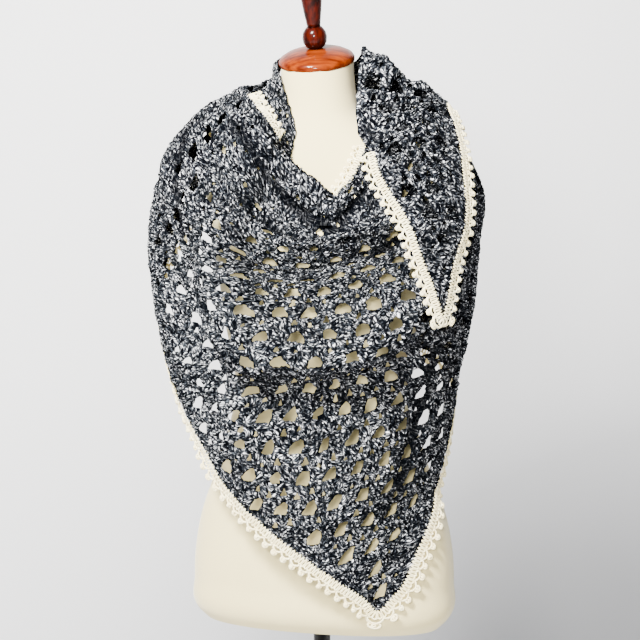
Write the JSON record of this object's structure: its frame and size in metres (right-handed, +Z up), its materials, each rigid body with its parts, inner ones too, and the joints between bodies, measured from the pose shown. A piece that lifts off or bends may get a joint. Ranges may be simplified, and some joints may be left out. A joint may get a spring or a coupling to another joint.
{
  "type": "lace shawl on a dress form",
  "caption": "Crocheted lace triangle shawl in marled grey with a cream picot edging, worn point down on a limbless dress form on a round stand",
  "frame": {"origin": "on the floor, on the pole's axis, at the middle of the base plate's flat underside", "axes": "+Z up along the pole, -Y towards the viewer of the shawl's point, +X to that viewer's right; the form itself is turned 15 degrees towards -X"},
  "size_m": [0.4567, 0.3541, 1.4042],
  "materials": {
    "grey_yarn": "chunky marled yarn, black, grey and white plies, soft matt sheen",
    "cream_yarn": "smooth matt cream yarn, crocheted with picots",
    "cover_cloth": "tight fine knit cover, matt",
    "cap_wood": "turned hardwood, glossy red-brown varnish",
    "finial_wood": "turned hardwood, dark glossy mahogany varnish",
    "black_steel": "satin black enamel"
  },
  "bodies": {
    "root": {"shawl_front": "grey_yarn", "shawl_back_outer": "grey_yarn", "shawl_back_inner": "grey_yarn", "shawl_end": "grey_yarn", "shawl_tucked_end": "grey_yarn", "front_hem_edging": "cream_yarn", "shawl_back_outer_hem_edging": "cream_yarn", "shawl_back_inner_hem_edging": "cream_yarn", "neck_edging_left": "cream_yarn", "neck_edging_right": "cream_yarn", "end_edging_left": "cream_yarn", "end_edging_right": "cream_yarn", "dress_form_body": "cover_cloth", "neck_cap": "cap_wood", "finial_ball": "finial_wood", "finial_post": "finial_wood", "pole_collar": "black_steel", "pole": "black_steel", "base_hub": "black_steel", "base_plate": "black_steel"}
  },
  "joints": []
}
